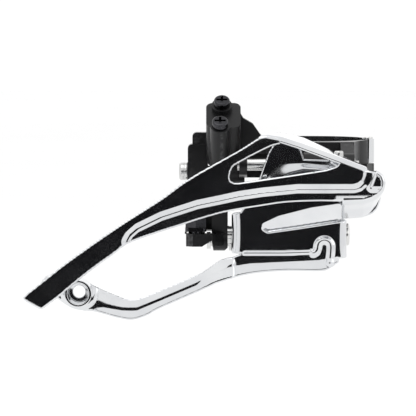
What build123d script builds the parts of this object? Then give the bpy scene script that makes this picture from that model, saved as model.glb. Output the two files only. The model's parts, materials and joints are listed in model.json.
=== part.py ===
from build123d import *
import os
from math import cos, radians, sin

# Front derailleur of the band-clamp kind. Millimetres.
# +X forward, +Y towards the bicycle's middle plane, +Z up along the seat tube.
# Origin: centre of the clamp bore at half of its height.

# clamp
TUBE_R = 17.45
BAND_HALF = 6.0
BRACKET_TOP = 5.6
RING_OUTER_R = 20.45
BAND_OUTER_R = 19.05
HINGE = (18.7, -6.2)
HINGE_KNUCKLE_R = 2.0
HINGE_PIN_R = 1.0
HINGE_SPLIT_Z = -2.05
HINGE_GAP = 0.3
BOLT_X = -24.1
FLANGE_LEFT = -28.0
FLANGE_Y = (-9.0, -4.2)
BAND_EAR_Y = (-2.8, 0.2)
BOLT_R = 2.05
BOLT_HOLE_R = 2.75
BOLT_CAPTIVE_HOLE_R = 2.2

# linkage: four axles along X, given as (Y, Z)
AXLE_A = (-30.0, -1.4)
AXLE_B = (-20.0, -4.1)
AXLE_C = (-28.0, -24.35)
AXLE_D = (-18.0, -27.05)
AXLE_R = 2.0
RUNNING_GAP = 0.05
OPEN_PIVOT_GAP = 0.1
PRESS_GAP = 0.01
BUSH_R = 3.0
LINK_X = (-25.2, 8.9)
LINK_TOP_LEFT = -14.0
LINK_TOP_RIGHT = 8.3
SPRING_BAY = (-12.2, -3.6)
INNER_LINK_X = (-33.4, -28.1)
ANCHOR = (-38.6, -21.2)

# limit screws: both lean outward by the same angle
SCREW_LEAN = radians(40)
SCREW_ALONG = (-sin(SCREW_LEAN), cos(SCREW_LEAN))
SCREW_ACROSS = (cos(SCREW_LEAN), sin(SCREW_LEAN))
POST_TOP = 25.2
POST_X = (-35.2, -24.0)
POST_ACROSS = (-4.6, 7.4)
POST_BLOCK_TOP = 23.4
POST_CORNER = 2.2
BOSS_R = 3.3
INNER_SCREW = (-30.1, 4.45)
OUTER_SCREW = (-30.7, -5.66)
SCREW_R = 1.95
SCREW_HOLE_R = 2.0
SCREW_HEAD_R = 2.6
SCREW_HEAD_HEIGHT = 2.2
SCREW_TIP = 3.95
SHOULDER_TOP = 3.6
SWING = radians(46)

# cage
SHEET = 1.2
OUTER_BACK = 47.4
INNER_BACK = 34.9
CAGE_EAR_LEFT = -26.9
CAGE_EAR_RIGHT = 10.4
EYELET = (-76.3, -42.2)
EYELET_R = 4.4
EYELET_BORE_R = 3.4
EYELET_HOLE_R = 2.0
RIVET_R = 1.5

os.makedirs("parts", exist_ok=True)


def along_x(x_start):
    """Plane square to the X axis at x_start: local x is +Y, local y is +Z."""
    return Plane(origin=(x_start, 0, 0), x_dir=(0, 1, 0), z_dir=(1, 0, 0))


def post_point(up, across):
    """Point (Y, Z) given along and across the limit screws, measured from the rear fixed axle."""
    y = AXLE_B[0] + up * SCREW_ALONG[0] + across * SCREW_ACROSS[0]
    z = AXLE_B[1] + up * SCREW_ALONG[1] + across * SCREW_ACROSS[1]
    return (y, z)


def screw_plane(screw, up):
    """Plane square to a limit screw, facing its head, at a height above the rear fixed axle."""
    y, z = post_point(up, screw[1])
    return Plane(origin=(screw[0], y, z), x_dir=(1, 0, 0), z_dir=(0, *SCREW_ALONG))


def swung(point, angle):
    """Point (Y, Z) turned about the rear fixed axle; a positive angle swings the cage inward."""
    y = point[0] - AXLE_B[0]
    z = point[1] - AXLE_B[1]
    turned_y = y * cos(angle) - z * sin(angle)
    turned_z = y * sin(angle) + z * cos(angle)
    return (AXLE_B[0] + turned_y, AXLE_B[1] + turned_z)


# --- bracket ---
with BuildPart() as bracket_body:
    # near half of the clamp ring and the wall behind the front axle
    with BuildSketch(Plane.XY.offset(-BAND_HALF)):
        Circle(RING_OUTER_R)
        with Locations((0, RING_OUTER_R - 6.2)):
            Rectangle(60, 2 * RING_OUTER_R, mode=Mode.SUBTRACT)
        with BuildLine():
            Polyline((-24.5, -19), (-24.5, -24.4), (13.2, -24.4), (15.6, -12), (0, -14), close=True)
        make_face()
        with BuildLine():
            Polyline((FLANGE_LEFT, FLANGE_Y[0]), (FLANGE_LEFT, FLANGE_Y[1]), (-16, FLANGE_Y[1]),
                     (-15, -12), (-20, -20), (-24.5, -20), (-24.5, -14), close=True)
        make_face()
        Circle(TUBE_R, mode=Mode.SUBTRACT)
    extrude(amount=BAND_HALF + BRACKET_TOP)
    # knuckle of the band's hinge
    with BuildSketch(Plane.XY.offset(-BAND_HALF)):
        with Locations(HINGE):
            Circle(HINGE_KNUCKLE_R)
        with BuildLine():
            Polyline((17.0, -8.5), (20.6, -6.5), (18.0, -12.5), (15.5, -12), close=True)
        make_face()
        Circle(TUBE_R + 0.1, mode=Mode.SUBTRACT)
    extrude(amount=BAND_HALF + HINGE_SPLIT_Z - HINGE_GAP / 2)
    # post that carries the two limit screws
    with BuildSketch(screw_plane((sum(POST_X) / 2, sum(POST_ACROSS) / 2), 4)):
        RectangleRounded(POST_X[1] - POST_X[0], POST_ACROSS[1] - POST_ACROSS[0], POST_CORNER)
    extrude(amount=POST_BLOCK_TOP - 4)
    # round bosses that the limit screws' heads sit on
    for screw in (INNER_SCREW, OUTER_SCREW):
        with BuildSketch(screw_plane(screw, 5)):
            Circle(BOSS_R)
        extrude(amount=POST_TOP - 5)
    # web between the post and the ring
    with BuildSketch(Plane.XZ.offset(20.5)):
        with BuildLine():
            Polyline((-24.2, 15.5), (-23.1, 13.6), (-20, 11.8), (-17.5, 8.2), (-14.5, 5.4), (-14.5, 2),
                     (-24.2, 2), close=True)
        make_face()
    extrude(amount=7.5)
    # block and boss on the left, where the rear axle is riveted
    with BuildSketch(along_x(-41.2)):
        with Locations(AXLE_B):
            Circle(4.6)
        with BuildLine():
            Polyline((-24.6, -4.1), (-26.5, 3), (-20, 3), (-15.4, -4.1), close=True)
        make_face()
    extrude(amount=6.2)
    # its shoulder, and the lower step in front of the shoulder
    with BuildSketch(Plane.XZ.offset(19.6)):
        with Locations((-35.4, 2.4)):
            RectangleRounded(8.6, 12.8, 1.4)
    extrude(amount=6.4)
    with BuildSketch(Plane.XZ.offset(20.4)):
        with Locations((-37.1, -1.7)):
            RectangleRounded(8.2, 13.4, 1.4)
    extrude(amount=6.8)
    # right-hand lug of the rear axle
    with BuildSketch(along_x(-27.6)):
        with Locations(AXLE_B):
            Circle(4.4)
        with BuildLine():
            Polyline((-24.4, -4.1), (-26, 4), (-17, 4), (-15.6, -4.1), close=True)
        make_face()
    extrude(amount=5)
    # ears of the front axle
    for ear_left, ear_right in ((-24.4, -21.9), (8.7, 13.0)):
        with BuildSketch(along_x(ear_left)):
            with Locations(AXLE_A):
                Circle(3.7)
            with BuildLine():
                Polyline((-30.6, 2.25), (-24, 5.6), (-24, -6), (-30, -5.1), close=True)
            make_face()
        extrude(amount=ear_right - ear_left)
    # room for the inner link and its two shoulders
    with BuildSketch(along_x(-34.6)):
        with Locations(AXLE_B):
            Circle(7.9)
        with BuildLine():
            Polyline((-33, -4), (-20, -4), (-8, -4), (-8, -20), (-33, -20), close=True)
        make_face()
    extrude(amount=7.0, mode=Mode.SUBTRACT)
    # axle holes
    with BuildSketch(along_x(-50)):
        with Locations(AXLE_B):
            Circle(AXLE_R + PRESS_GAP)
    extrude(amount=27, mode=Mode.SUBTRACT)
    with BuildSketch(along_x(-25.2)):
        with Locations(AXLE_A):
            Circle(AXLE_R + PRESS_GAP)
    extrude(amount=60, mode=Mode.SUBTRACT)
    # holes of the limit screws
    for screw in (INNER_SCREW, OUTER_SCREW):
        with BuildSketch(screw_plane(screw, 0)):
            Circle(SCREW_HOLE_R)
        extrude(amount=POST_TOP + 1, mode=Mode.SUBTRACT)
    # hinge pin hole, and room for the band's knuckle above the bracket's
    with BuildSketch(Plane.XY.offset(-BAND_HALF)):
        with Locations(HINGE):
            Circle(HINGE_PIN_R + PRESS_GAP)
    extrude(amount=2 * BAND_HALF, mode=Mode.SUBTRACT)
    with BuildSketch(Plane.XY.offset(HINGE_SPLIT_Z - HINGE_GAP / 2)):
        with Locations(HINGE):
            Circle(HINGE_KNUCKLE_R + 0.45)
    extrude(amount=10, mode=Mode.SUBTRACT)
    # hole of the clamp bolt
    with BuildSketch(Plane.XZ.offset(-FLANGE_Y[1])):
        with Locations((BOLT_X, 0)):
            Circle(BOLT_HOLE_R)
    extrude(amount=FLANGE_Y[1] - FLANGE_Y[0], mode=Mode.SUBTRACT)
bracket_body.part.label = "bracket_body"

with BuildPart() as clamp_hinge_pin:
    with Locations((HINGE[0], HINGE[1], -BAND_HALF)):
        Cylinder(HINGE_PIN_R, 2 * BAND_HALF, align=(Align.CENTER, Align.CENTER, Align.MIN))
    with Locations((HINGE[0], HINGE[1], BAND_HALF)):
        Cylinder(1.6, 0.7, align=(Align.CENTER, Align.CENTER, Align.MIN))
    fillet(clamp_hinge_pin.edges().sort_by(Axis.Z)[-1], radius=0.4)
clamp_hinge_pin.part.label = "clamp_hinge_pin"

# --- far half of the clamp ring ---
with BuildPart() as clamp_band:
    with BuildSketch(Plane.XY.offset(-BAND_HALF)):
        Circle(BAND_OUTER_R)
        with Locations((0, -BAND_OUTER_R - 4.5)):
            Rectangle(60, 2 * BAND_OUTER_R, mode=Mode.SUBTRACT)
        with Locations((-30, -BAND_OUTER_R - 2.8)):
            Rectangle(60, 2 * BAND_OUTER_R, mode=Mode.SUBTRACT)
        with BuildLine():
            Polyline((-15, BAND_EAR_Y[0]), (FLANGE_LEFT, BAND_EAR_Y[0]), (FLANGE_LEFT, BAND_EAR_Y[1]),
                     (-20, BAND_EAR_Y[1]), (-18.2, 3.5), (-15, 3.5), close=True)
        make_face()
        Circle(TUBE_R, mode=Mode.SUBTRACT)
    extrude(amount=2 * BAND_HALF)
    # clearance round the bracket's knuckle, then the band's own knuckle
    with BuildSketch(Plane.XY.offset(-BAND_HALF)):
        with Locations(HINGE):
            Circle(HINGE_KNUCKLE_R + 0.45)
    extrude(amount=2 * BAND_HALF, mode=Mode.SUBTRACT)
    with BuildSketch(Plane.XY.offset(HINGE_SPLIT_Z + HINGE_GAP / 2)):
        with Locations(HINGE):
            Circle(HINGE_KNUCKLE_R)
        with BuildLine():
            Polyline((17.35, -5.2), (20.68, -6.0), (19.05, -2.5), (17.5, -2.6), close=True)
        make_face()
        Circle(TUBE_R, mode=Mode.SUBTRACT)
        with Locations(HINGE):
            Circle(HINGE_PIN_R + RUNNING_GAP, mode=Mode.SUBTRACT)
    extrude(amount=BAND_HALF - HINGE_SPLIT_Z - HINGE_GAP / 2)
    with BuildSketch(Plane.XZ.offset(-BAND_EAR_Y[1])):
        with Locations((BOLT_X, 0)):
            Circle(BOLT_CAPTIVE_HOLE_R)
    extrude(amount=BAND_EAR_Y[1] - BAND_EAR_Y[0], mode=Mode.SUBTRACT)
clamp_band.part.label = "clamp_band"

with BuildPart() as clamp_washer:
    with BuildSketch(Plane.XZ.offset(-BAND_EAR_Y[1] - 0.02)):
        with Locations((BOLT_X, 0)):
            Circle(3.8)
            Circle(BOLT_CAPTIVE_HOLE_R, mode=Mode.SUBTRACT)
    extrude(amount=-0.9)
clamp_washer.part.label = "clamp_washer"

with BuildPart() as clamp_bolt:
    with BuildSketch(Plane.XZ.offset(-BAND_EAR_Y[1] - 0.94)):
        with Locations((BOLT_X, 0)):
            Circle(3.5)
    extrude(amount=-4)
    fillet(clamp_bolt.edges().sort_by(Axis.Y)[-1], radius=0.5)
    with BuildSketch(Plane.XZ.offset(-BAND_EAR_Y[1] - 4.94)):
        with Locations((BOLT_X, 0)):
            RegularPolygon(2.3, 6)
    extrude(amount=2.2, mode=Mode.SUBTRACT)
    with BuildSketch(Plane.XZ.offset(-BAND_EAR_Y[1] - 0.94)):
        with Locations((BOLT_X, 0)):
            Circle(BOLT_R)
    extrude(amount=9.1)
clamp_bolt.part.label = "clamp_bolt"


# --- fixed axles ---
with BuildPart() as front_fixed_axle:
    with BuildSketch(along_x(-25.1)):
        with Locations(AXLE_A):
            Circle(AXLE_R)
    extrude(amount=38.3)
    with BuildSketch(along_x(13.2)):
        with Locations(AXLE_A):
            Circle(1.2)
    extrude(amount=1.3)
front_fixed_axle.part.label = "front_fixed_axle"

with BuildPart() as rear_fixed_axle:
    with BuildSketch(along_x(-42.6)):
        with Locations(AXLE_B):
            Circle(AXLE_R)
    extrude(amount=19.4)
    with BuildSketch(along_x(-44.1)):
        with Locations(AXLE_B):
            Circle(3.0)
    extrude(amount=1.6)
    fillet(rear_fixed_axle.edges().sort_by(Axis.X)[0], radius=0.9)
rear_fixed_axle.part.label = "rear_fixed_axle"

with BuildPart() as rear_axle_washer:
    with BuildSketch(along_x(-42.48)):
        with Locations(AXLE_B):
            Circle(3.0)
            Circle(AXLE_R + PRESS_GAP, mode=Mode.SUBTRACT)
    extrude(amount=1.26)
rear_axle_washer.part.label = "rear_axle_washer"


# --- limit screws ---
def make_limit_screw(screw):
    """Cross-headed limit screw: head on the post's top face, tip just above the link's shoulder."""
    with BuildPart() as body:
        with BuildSketch(screw_plane(screw, SCREW_TIP)):
            Circle(SCREW_R)
        extrude(amount=POST_TOP - SCREW_TIP + 0.2)
        with BuildSketch(screw_plane(screw, POST_TOP + 0.1)):
            Circle(SCREW_HEAD_R)
        extrude(amount=SCREW_HEAD_HEIGHT)
        rim = body.edges().sort_by(Axis((0, 0, 0), (0, *SCREW_ALONG)))[-1]
        fillet(rim, radius=0.7)
        with BuildSketch(screw_plane(screw, POST_TOP + 0.1 + SCREW_HEAD_HEIGHT)):
            Rectangle(3.6, 0.8)
            Rectangle(0.8, 3.6)
        extrude(amount=-1.2, mode=Mode.SUBTRACT)
    return body.part


inner_limit_screw = make_limit_screw(INNER_SCREW)
inner_limit_screw.label = "inner_limit_screw"
outer_limit_screw = make_limit_screw(OUTER_SCREW)
outer_limit_screw.label = "outer_limit_screw"


# --- outer link: wide plate between the front fixed axle and the front moving axle ---
with BuildPart() as outer_link:
    with BuildSketch(along_x(LINK_X[0])):
        with Locations(AXLE_A):
            Circle(3.9)
        with Locations(AXLE_C):
            Circle(3.5)
        with BuildLine():
            Polyline((AXLE_A[0] - 1.6, AXLE_A[1]), (AXLE_A[0] + 1.6, AXLE_A[1]),
                     (AXLE_C[0] + 1.6, AXLE_C[1]), (AXLE_C[0] - 1.6, AXLE_C[1]), close=True)
        make_face()
    extrude(amount=LINK_X[1] - LINK_X[0])
    # narrower at the top than at the bottom
    with BuildSketch(Plane.XZ.offset(20)):
        with BuildLine():
            Polyline((LINK_X[0] - 1, 6), (LINK_TOP_LEFT, 6), (LINK_TOP_LEFT, -7), (LINK_X[0] - 1, -19.5),
                     close=True)
        make_face()
        with BuildLine():
            Polyline((LINK_TOP_RIGHT, 6), (LINK_X[1] + 1, 6), (LINK_X[1] + 1, -8), (LINK_TOP_RIGHT, -7),
                     close=True)
        make_face()
        with Locations((sum(SPRING_BAY) / 2, 0.2)):
            Rectangle(SPRING_BAY[1] - SPRING_BAY[0], 12)
        with Locations((-5, -14)):
            RectangleRounded(10, 6, 2.5)
    extrude(amount=20, mode=Mode.SUBTRACT)
    with BuildSketch(along_x(LINK_X[0])):
        with Locations(AXLE_A):
            Circle(BUSH_R + PRESS_GAP)
        with Locations(AXLE_C):
            Circle(AXLE_R + RUNNING_GAP)
    extrude(amount=LINK_X[1] - LINK_X[0], mode=Mode.SUBTRACT)
outer_link.part.label = "outer_link"


def make_bush(axle, left, right):
    """Plain sleeve pressed into a link."""
    with BuildPart() as sleeve:
        with BuildSketch(along_x(left)):
            with Locations(axle):
                Circle(BUSH_R)
                Circle(AXLE_R + RUNNING_GAP, mode=Mode.SUBTRACT)
        extrude(amount=right - left)
    return sleeve.part


outer_link_bush_left = make_bush(AXLE_A, LINK_TOP_LEFT, SPRING_BAY[0])
outer_link_bush_left.label = "outer_link_bush_left"
outer_link_bush_right = make_bush(AXLE_A, SPRING_BAY[1], LINK_TOP_RIGHT)
outer_link_bush_right.label = "outer_link_bush_right"
inner_link_bush = make_bush(AXLE_B, *INNER_LINK_X)
inner_link_bush.label = "inner_link_bush"

# --- return spring: close coils round the front fixed axle, carried by the outer link ---
SPRING_WIRE_R = 0.6
SPRING_COIL_R = 3.1
SPRING_PITCH = 1.32
SPRING_TURNS = 5
with BuildPart() as return_spring:
    with BuildLine() as coil_path:
        Helix(SPRING_PITCH, SPRING_PITCH * SPRING_TURNS, SPRING_COIL_R,
              center=(SPRING_BAY[0] + 0.95, *AXLE_A), direction=(1, 0, 0))
    with BuildSketch(Plane(origin=coil_path.line @ 0, z_dir=coil_path.line % 0)):
        Circle(SPRING_WIRE_R)
    sweep(is_frenet=True)
return_spring.part.label = "return_spring"

# --- inner link with its two shoulders and the cable arm ---
with BuildPart() as inner_link:
    with BuildSketch(along_x(INNER_LINK_X[0])):
        with Locations(AXLE_B):
            Circle(4.2)
        with Locations(AXLE_D):
            Circle(3.4)
        with BuildLine():
            Polyline((AXLE_B[0] - 2.4, AXLE_B[1]), (AXLE_B[0] + 2.4, AXLE_B[1]),
                     (AXLE_D[0] + 2.2, AXLE_D[1]), (AXLE_D[0] - 2.2, AXLE_D[1]), close=True)
        make_face()
        # shoulder for the inner limit screw
        with BuildLine():
            Polyline(post_point(SHOULDER_TOP, 1.8), post_point(SHOULDER_TOP, 6.4), post_point(0.5, 6.4),
                     post_point(-2.5, 2), close=True)
        make_face()
        # shoulder for the outer limit screw, reached at the end of the swing
        with BuildLine():
            Polyline(swung(post_point(SHOULDER_TOP, -1.8), SWING),
                     swung(post_point(SHOULDER_TOP, -6.6), SWING),
                     swung(post_point(0.5, -6.6), SWING), swung(post_point(-2.5, -2), SWING), close=True)
        make_face()
    extrude(amount=INNER_LINK_X[1] - INNER_LINK_X[0])
    # cable arm: a pad on the left with a square seat
    with BuildSketch(Plane.XY.offset(-28.6)):
        with BuildLine():
            Polyline((-33.0, -15.8), (-39.4, -16.4), (-41.8, -18.4), (-41.8, -24.2), (-39.6, -26), (-33, -26),
                     (-29.5, -21.5), (-29.5, -17), close=True)
        make_face()
    extrude(amount=4.1)
    # rib behind the anchor bolt
    with BuildSketch(Plane.XZ.offset(15.8)):
        with BuildLine():
            Polyline((-38.4, -25), (-38.4, -20), (-36, -15), (-33, -13), (-33, -25), close=True)
        make_face()
    extrude(amount=1.2)
    # slanted underside between the pad and the link's lower end
    with BuildSketch(Plane.XZ.offset(14)):
        with BuildLine():
            Polyline((-36.6, -29), (-36.6, -28.6), (-33.4, -26.6), (-32.8, -30.5), (-32.8, -31.5),
                     (-36.6, -31.5), close=True)
        make_face()
        with BuildLine():
            Polyline((-29.2, -31.5), (-29.2, -30.5), (-28.0, -29.2), (-27.5, -31.5), close=True)
        make_face()
    extrude(amount=14, mode=Mode.SUBTRACT)
    with BuildSketch(Plane.XY.offset(-29)):
        with Locations(ANCHOR):
            Circle(2.55)
    extrude(amount=10, mode=Mode.SUBTRACT)
    with BuildSketch(along_x(INNER_LINK_X[0] - 10)):
        with Locations(AXLE_B):
            Circle(BUSH_R + PRESS_GAP)
    extrude(amount=20, mode=Mode.SUBTRACT)
    with BuildSketch(along_x(INNER_LINK_X[0])):
        with Locations(AXLE_D):
            Circle(AXLE_R + OPEN_PIVOT_GAP)
    extrude(amount=INNER_LINK_X[1] - INNER_LINK_X[0], mode=Mode.SUBTRACT)
    # room for the moving axle's riveted end
    with BuildSketch(along_x(INNER_LINK_X[0])):
        with Locations(AXLE_D):
            Circle(3.7)
    extrude(amount=-2.2, mode=Mode.SUBTRACT)
inner_link.part.label = "inner_link"

with BuildPart() as cable_anchor_washer:
    with BuildSketch(Plane.XY.offset(-23.8)):
        with Locations(ANCHOR):
            RectangleRounded(7.0, 7.0, 1.2)
            Circle(2.55, mode=Mode.SUBTRACT)
    extrude(amount=1.3)
    with BuildSketch(Plane.XY.offset(-24.48)):
        with Locations((ANCHOR[0] - 3.3, ANCHOR[1])):
            Rectangle(0.6, 7)
    extrude(amount=0.7)
cable_anchor_washer.part.label = "cable_anchor_washer"

with BuildPart() as cable_anchor_bolt:
    with BuildSketch(Plane.XY.offset(-28.4)):
        with Locations(ANCHOR):
            Circle(2.4)
    extrude(amount=6.0)
    with BuildSketch(Plane.XY.offset(-22.48)):
        with Locations(ANCHOR):
            RegularPolygon(3.9, 6, rotation=30)
    extrude(amount=3.4)
    fillet(cable_anchor_bolt.edges().group_by(Axis.Z)[-1], radius=0.4)
cable_anchor_bolt.part.label = "cable_anchor_bolt"

# --- cage: outer plate ---
TOP_BRIDGE_OUTER = [(-16.7, 8.7), (-6.0, 5.6), (4.0, 2.0), (15.5, -2.3)]
TOP_BRIDGE_INNER = [(-12.4, 9.5), (-5.6, 8.4), (2.0, 5.0), (14.2, -0.6)]


def bridge_strip(points, drop):
    """Closed strip one sheet thick below a line of (X, Z) points."""
    upper = [(x, z - drop) for x, z in points]
    lower = [(x, z - drop - SHEET) for x, z in reversed(points)]
    return upper + lower


with BuildPart() as cage_outer_plate:
    with BuildSketch(Plane.XZ.offset(OUTER_BACK)):
        with BuildLine():
            Polyline((-16.7, 8.7), (-24.4, 4.2), (-37.2, -3.0), (-42.6, -6.3))
            Spline((-42.6, -6.3), (-50.3, -11.9), (-63.1, -20.1), (-79.4, -31.5), (-92.8, -42.0))
            Polyline((-92.8, -42.0), (-94.0, -43.6), (-87.7, -47.0), (-82.6, -43.3))
            Spline((-82.6, -43.3), (-75.6, -37.4), (-69.8, -32.9), (-65.0, -29.5), (-58.6, -25.1),
                   (-56.0, -24.2), (-41.7, -19.5), (-27.6, -15.5), (-9.6, -12.4), (9.2, -12.4))
            Polyline((9.2, -12.4), (18.6, -12.2), (20.9, -10.1))
            Spline((20.9, -10.1), (22.2, -6.5), (20.9, -3.1), (18.8, -1.7))
            Polyline((18.8, -1.7), (15.5, -2.4), (4.0, 1.9), (-6.0, 5.5), (-16.7, 8.7))
        make_face()
        with BuildLine():
            Spline((-27.6, -3.6), (-26.4, -1.2), (-22.1, 1.4), (-15.0, 5.0), (-10.3, 6.2))
            Polyline((-10.3, 6.2), (-6.2, 4.9), (3.6, 1.4), (6.4, 0.9))
            Spline((6.4, 0.9), (5.8, -0.6), (3.2, -2.0), (-8.4, -3.9), (-21.2, -5.9), (-26.3, -6.3),
                   (-27.6, -3.6))
        make_face(mode=Mode.SUBTRACT)
    extrude(amount=SHEET)
    # raised band that follows the lower edge
    with BuildSketch(Plane.XZ.offset(OUTER_BACK + SHEET)):
        with BuildLine():
            Spline((-64.2, -27.6), (-63.3, -24.2), (-60.9, -21.5), (-53.9, -18.0), (-37.6, -12.4),
                   (-24.4, -8.7), (-6.0, -6.8), (9.2, -6.5), (14.4, -5.2), (17.2, -2.4))
            Polyline((17.2, -2.4), (18.6, -9.8))
            Spline((18.6, -9.8), (9.2, -9.8), (-6.0, -9.9), (-24.4, -12.0), (-37.6, -14.9), (-49.0, -18.5),
                   (-56.4, -22.2), (-60.0, -26.2))
            Line((-60.0, -26.2), (-64.2, -27.6))
        make_face()
    extrude(amount=0.7)
    # top bridge towards the inner plate, with its notch
    with BuildSketch(Plane.XZ.offset(OUTER_BACK)):
        Polygon(*bridge_strip(TOP_BRIDGE_OUTER, 0), align=None)
    with BuildSketch(Plane.XZ.offset(INNER_BACK + SHEET + 0.05)):
        Polygon(*bridge_strip(TOP_BRIDGE_INNER, 0), align=None)
    loft(ruled=True)
    with Locations((-1, -44.6, 4)):
        Box(8, 4, 16, mode=Mode.SUBTRACT)
    # front bridge: wraps the nose and the lower edge, and ends in a tab on the inner plate
    with BuildSketch(Plane.XZ.offset(OUTER_BACK)):
        Polygon((9.2, -12.2), (15.0, -12.1), (19.2, -10.6), (21.0, -9.6), (21.9, -6.5), (20.8, -3.2),
                (18.8, -1.8), (18.2, -2.9), (19.8, -4.1), (20.7, -6.5), (20.0, -8.8), (18.6, -9.5),
                (14.6, -10.9), (9.2, -11.0), align=None)
    with BuildSketch(Plane.XZ.offset(INNER_BACK + SHEET + 0.05)):
        Polygon((9.2, -18.6), (15.5, -18.2), (19.6, -14.9), (21.3, -10.9), (21.3, -7.5), (19.4, -4.0),
                (17.4, -2.3), (16.6, -3.3), (18.4, -4.8), (20.1, -8.0), (20.1, -10.7), (18.6, -14.2),
                (15.0, -17.0), (9.2, -17.4), align=None)
    loft(ruled=True)
    with BuildSketch(Plane.XZ.offset(INNER_BACK + SHEET + 0.05)):
        Polygon((12.0, -6.5), (19.4, -6.5), (20.6, -10.9), (19.0, -14.6), (15.2, -17.6), (12.0, -17.8),
                align=None)
    extrude(amount=SHEET)
    with BuildSketch(Plane.XZ.offset(INNER_BACK)):
        with Locations((15.2, -11.0)):
            Circle(RIVET_R + PRESS_GAP)
    extrude(amount=6, mode=Mode.SUBTRACT)
    with Locations(Pos(7.6, -39.0, 2.0)):
        Cylinder(RIVET_R + PRESS_GAP, 12, mode=Mode.SUBTRACT)
cage_outer_plate.part.label = "cage_outer_plate"

# --- cage: inner plate with ears for the moving axles ---
with BuildPart() as cage_inner_plate:
    with BuildSketch(Plane.XZ.offset(INNER_BACK)):
        with BuildLine():
            Polyline((-12.0, 7.8), (-15.2, 2.5), (-18.1, -5.9), (-24.2, -15.0), (CAGE_EAR_LEFT, -17),
                     (CAGE_EAR_LEFT, -30.6), (-30.7, -32.1))
            Spline((-30.7, -32.1), (-37.6, -36.7), (-50.2, -42.1), (-56.3, -44.5), (-60.5, -44.9),
                   (-64.1, -43.7), (-70.7, -40.8), (-77.0, -37.2), (-85.0, -36.4), (-89.0, -38.6),
                   (-87.0, -42.0), (-83.2, -45.0), (-75.3, -48.5), (-70.7, -49.0), (-64.5, -50.7),
                   (-59.2, -51.6), (-54.2, -50.0), (-50.2, -47.8), (-36.0, -41.6), (-21.1, -36.7),
                   (-10.3, -35.4), (2.6, -35.6), (6.9, -34.0), (CAGE_EAR_RIGHT, -31.0))
            Polyline((CAGE_EAR_RIGHT, -31.0), (CAGE_EAR_RIGHT, -18.9), (15.5, -18.4))
            Spline((15.5, -18.4), (19.2, -16.8), (21.0, -13.5), (21.4, -10.5), (20.2, -5.4), (17.0, -2.6))
            Polyline((17.0, -2.6), (13.0, -1.5), (4.7, 2.3), (4.0, 0.3), (-3.5, 0.6),
                     (-5.4, 6.6), (-12.0, 7.8))
        make_face()
        with Locations(EYELET):
            Circle(EYELET_HOLE_R + 0.62, mode=Mode.SUBTRACT)
        with Locations((15.2, -11.0)):
            Circle(RIVET_R + PRESS_GAP, mode=Mode.SUBTRACT)
    extrude(amount=SHEET)
    # shifting ramp and stiffening bead, both raised towards the chain
    with BuildSketch(Plane.XZ.offset(INNER_BACK + SHEET)):
        Polygon((-17.0, -20.8), (-11.7, -17.8), (-1.1, -15.0), (8.1, -13.7), (8.8, -19.8), (-5.3, -22.0),
                (-15.2, -23.3), align=None)
        with BuildLine():
            Spline((-35.0, -39.2), (-21.0, -33.8), (-9.0, -32.8), (1.0, -32.2))
            Line((1.0, -32.2), (1.0, -34.4))
            Spline((1.0, -34.4), (-10.3, -34.3), (-21.1, -35.5), (-34.6, -40.4))
            Line((-34.6, -40.4), (-35.0, -39.2))
        make_face()
    extrude(amount=1.2)
    # left ear reaches both moving axles, right ear only the front one
    with BuildSketch(along_x(CAGE_EAR_LEFT)):
        with BuildLine():
            Polyline((-35, -16.5), (-30, -17.5), (-14.5, -22.6), (-13.6, -27.0), (-15.6, -31.4), (-24, -31.4),
                     (-35, -30.6), close=True)
        make_face()
    extrude(amount=SHEET)
    with BuildSketch(along_x(CAGE_EAR_RIGHT - SHEET)):
        with BuildLine():
            Polyline((-35, -17.0), (-29, -19.6), (-24.0, -21.6), (-23.4, -25.5), (-26, -29.0), (-35, -31.0),
                     close=True)
        make_face()
    extrude(amount=SHEET)
    # tab under the top bridge
    with BuildSketch(Plane.XZ.offset(44)):
        Polygon((4.9, 0.2), (11.2, -2.15), (11.0, -3.3), (4.7, -0.95), align=None)
    with BuildSketch(Plane.XZ.offset(INNER_BACK + SHEET)):
        Polygon((4.9, 2.3), (11.2, -0.60), (11.0, -1.8), (4.7, 1.1), align=None)
    loft(ruled=True)
    with BuildSketch(along_x(CAGE_EAR_LEFT)):
        with Locations(AXLE_C, AXLE_D):
            Circle(AXLE_R + PRESS_GAP)
    extrude(amount=CAGE_EAR_RIGHT - CAGE_EAR_LEFT, mode=Mode.SUBTRACT)
    with Locations(Pos(7.6, -39.0, 0.0)):
        Cylinder(RIVET_R + PRESS_GAP, 12, mode=Mode.SUBTRACT)
cage_inner_plate.part.label = "cage_inner_plate"

with BuildPart() as tail_spacer:
    with BuildSketch(Plane.XZ.offset(INNER_BACK + SHEET + 0.02)):
        with Locations(EYELET):
            Circle(EYELET_R)
            Circle(EYELET_HOLE_R, mode=Mode.SUBTRACT)
    extrude(amount=2)
    with BuildSketch(Plane.XZ.offset(INNER_BACK + SHEET + 2.02)):
        with Locations(EYELET):
            Circle(EYELET_R)
            Circle(EYELET_BORE_R, mode=Mode.SUBTRACT)
    extrude(amount=OUTER_BACK - INNER_BACK - SHEET - 2.04)
    with BuildSketch(Plane.XZ.offset(INNER_BACK - 0.5)):
        with Locations(EYELET):
            Circle(EYELET_HOLE_R + 0.6)
            Circle(EYELET_HOLE_R, mode=Mode.SUBTRACT)
    extrude(amount=SHEET + 0.52)
tail_spacer.part.label = "tail_spacer"

# --- rivets of the two bridges ---
with BuildPart() as bridge_rivet_front:
    with BuildSketch(Plane.XZ.offset(INNER_BACK - 0.02)):
        with Locations((15.2, -11.0)):
            Circle(RIVET_R)
    extrude(amount=2 * SHEET + 0.1)
    with BuildSketch(Plane.XZ.offset(INNER_BACK - 0.02)):
        with Locations((15.2, -11.0)):
            Circle(2.4)
    extrude(amount=-1.0)
    with BuildSketch(Plane.XZ.offset(INNER_BACK + 2 * SHEET + 0.07)):
        with Locations((15.2, -11.0)):
            Circle(2.4)
    extrude(amount=0.9)
bridge_rivet_front.part.label = "bridge_rivet_front"

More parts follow.
